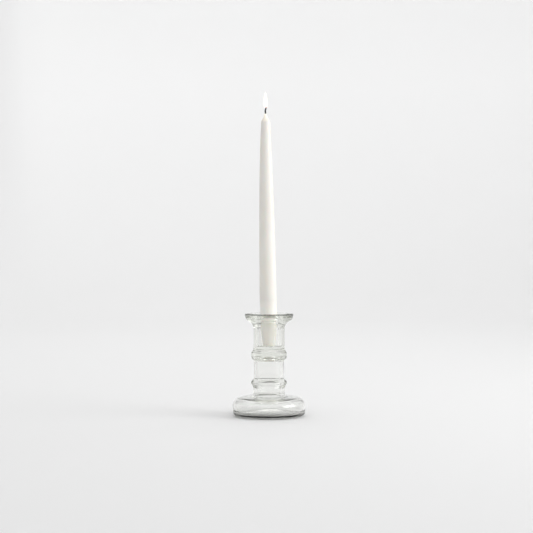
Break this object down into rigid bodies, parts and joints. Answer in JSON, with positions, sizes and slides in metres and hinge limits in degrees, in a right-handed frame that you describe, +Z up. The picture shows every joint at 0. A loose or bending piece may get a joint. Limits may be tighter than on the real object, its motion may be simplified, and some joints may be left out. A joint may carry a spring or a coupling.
{
  "type": "glass candlestick",
  "caption": "Tall clear glass candlestick: broad hollow foot, ringed hollow stem and a flared socket cup that holds a lit dinner taper, which lifts out.",
  "frame": {"origin": "centre of the foot's flat underside, on the table", "axes": "+Z up along the stem; the candle leans one degree towards -X, so the view along +Y shows the lean"},
  "size_m": [0.0948, 0.0948, 0.4039],
  "materials": {
    "clear_glass": "clear, fire-polished, with a faint olive-green cast where it is thick",
    "candle_wax": "smooth ivory-white dipped wax with a soft satin sheen",
    "wick_cotton": "braided cotton, charred black where it shows"
  },
  "bodies": {
    "holder": {"foot": "clear_glass", "lower_ring": "clear_glass", "stem_tube": "clear_glass", "upper_ring": "clear_glass", "socket_cup": "clear_glass"},
    "taper": {"candle": "candle_wax", "wick": "wick_cotton"}
  },
  "joints": [
    {"name": "taper_lift", "type": "slide", "parent": "holder", "child": "taper", "axis": [-0.0175, 0, 0.9998], "range_m": [0, 0.055]}
  ]
}
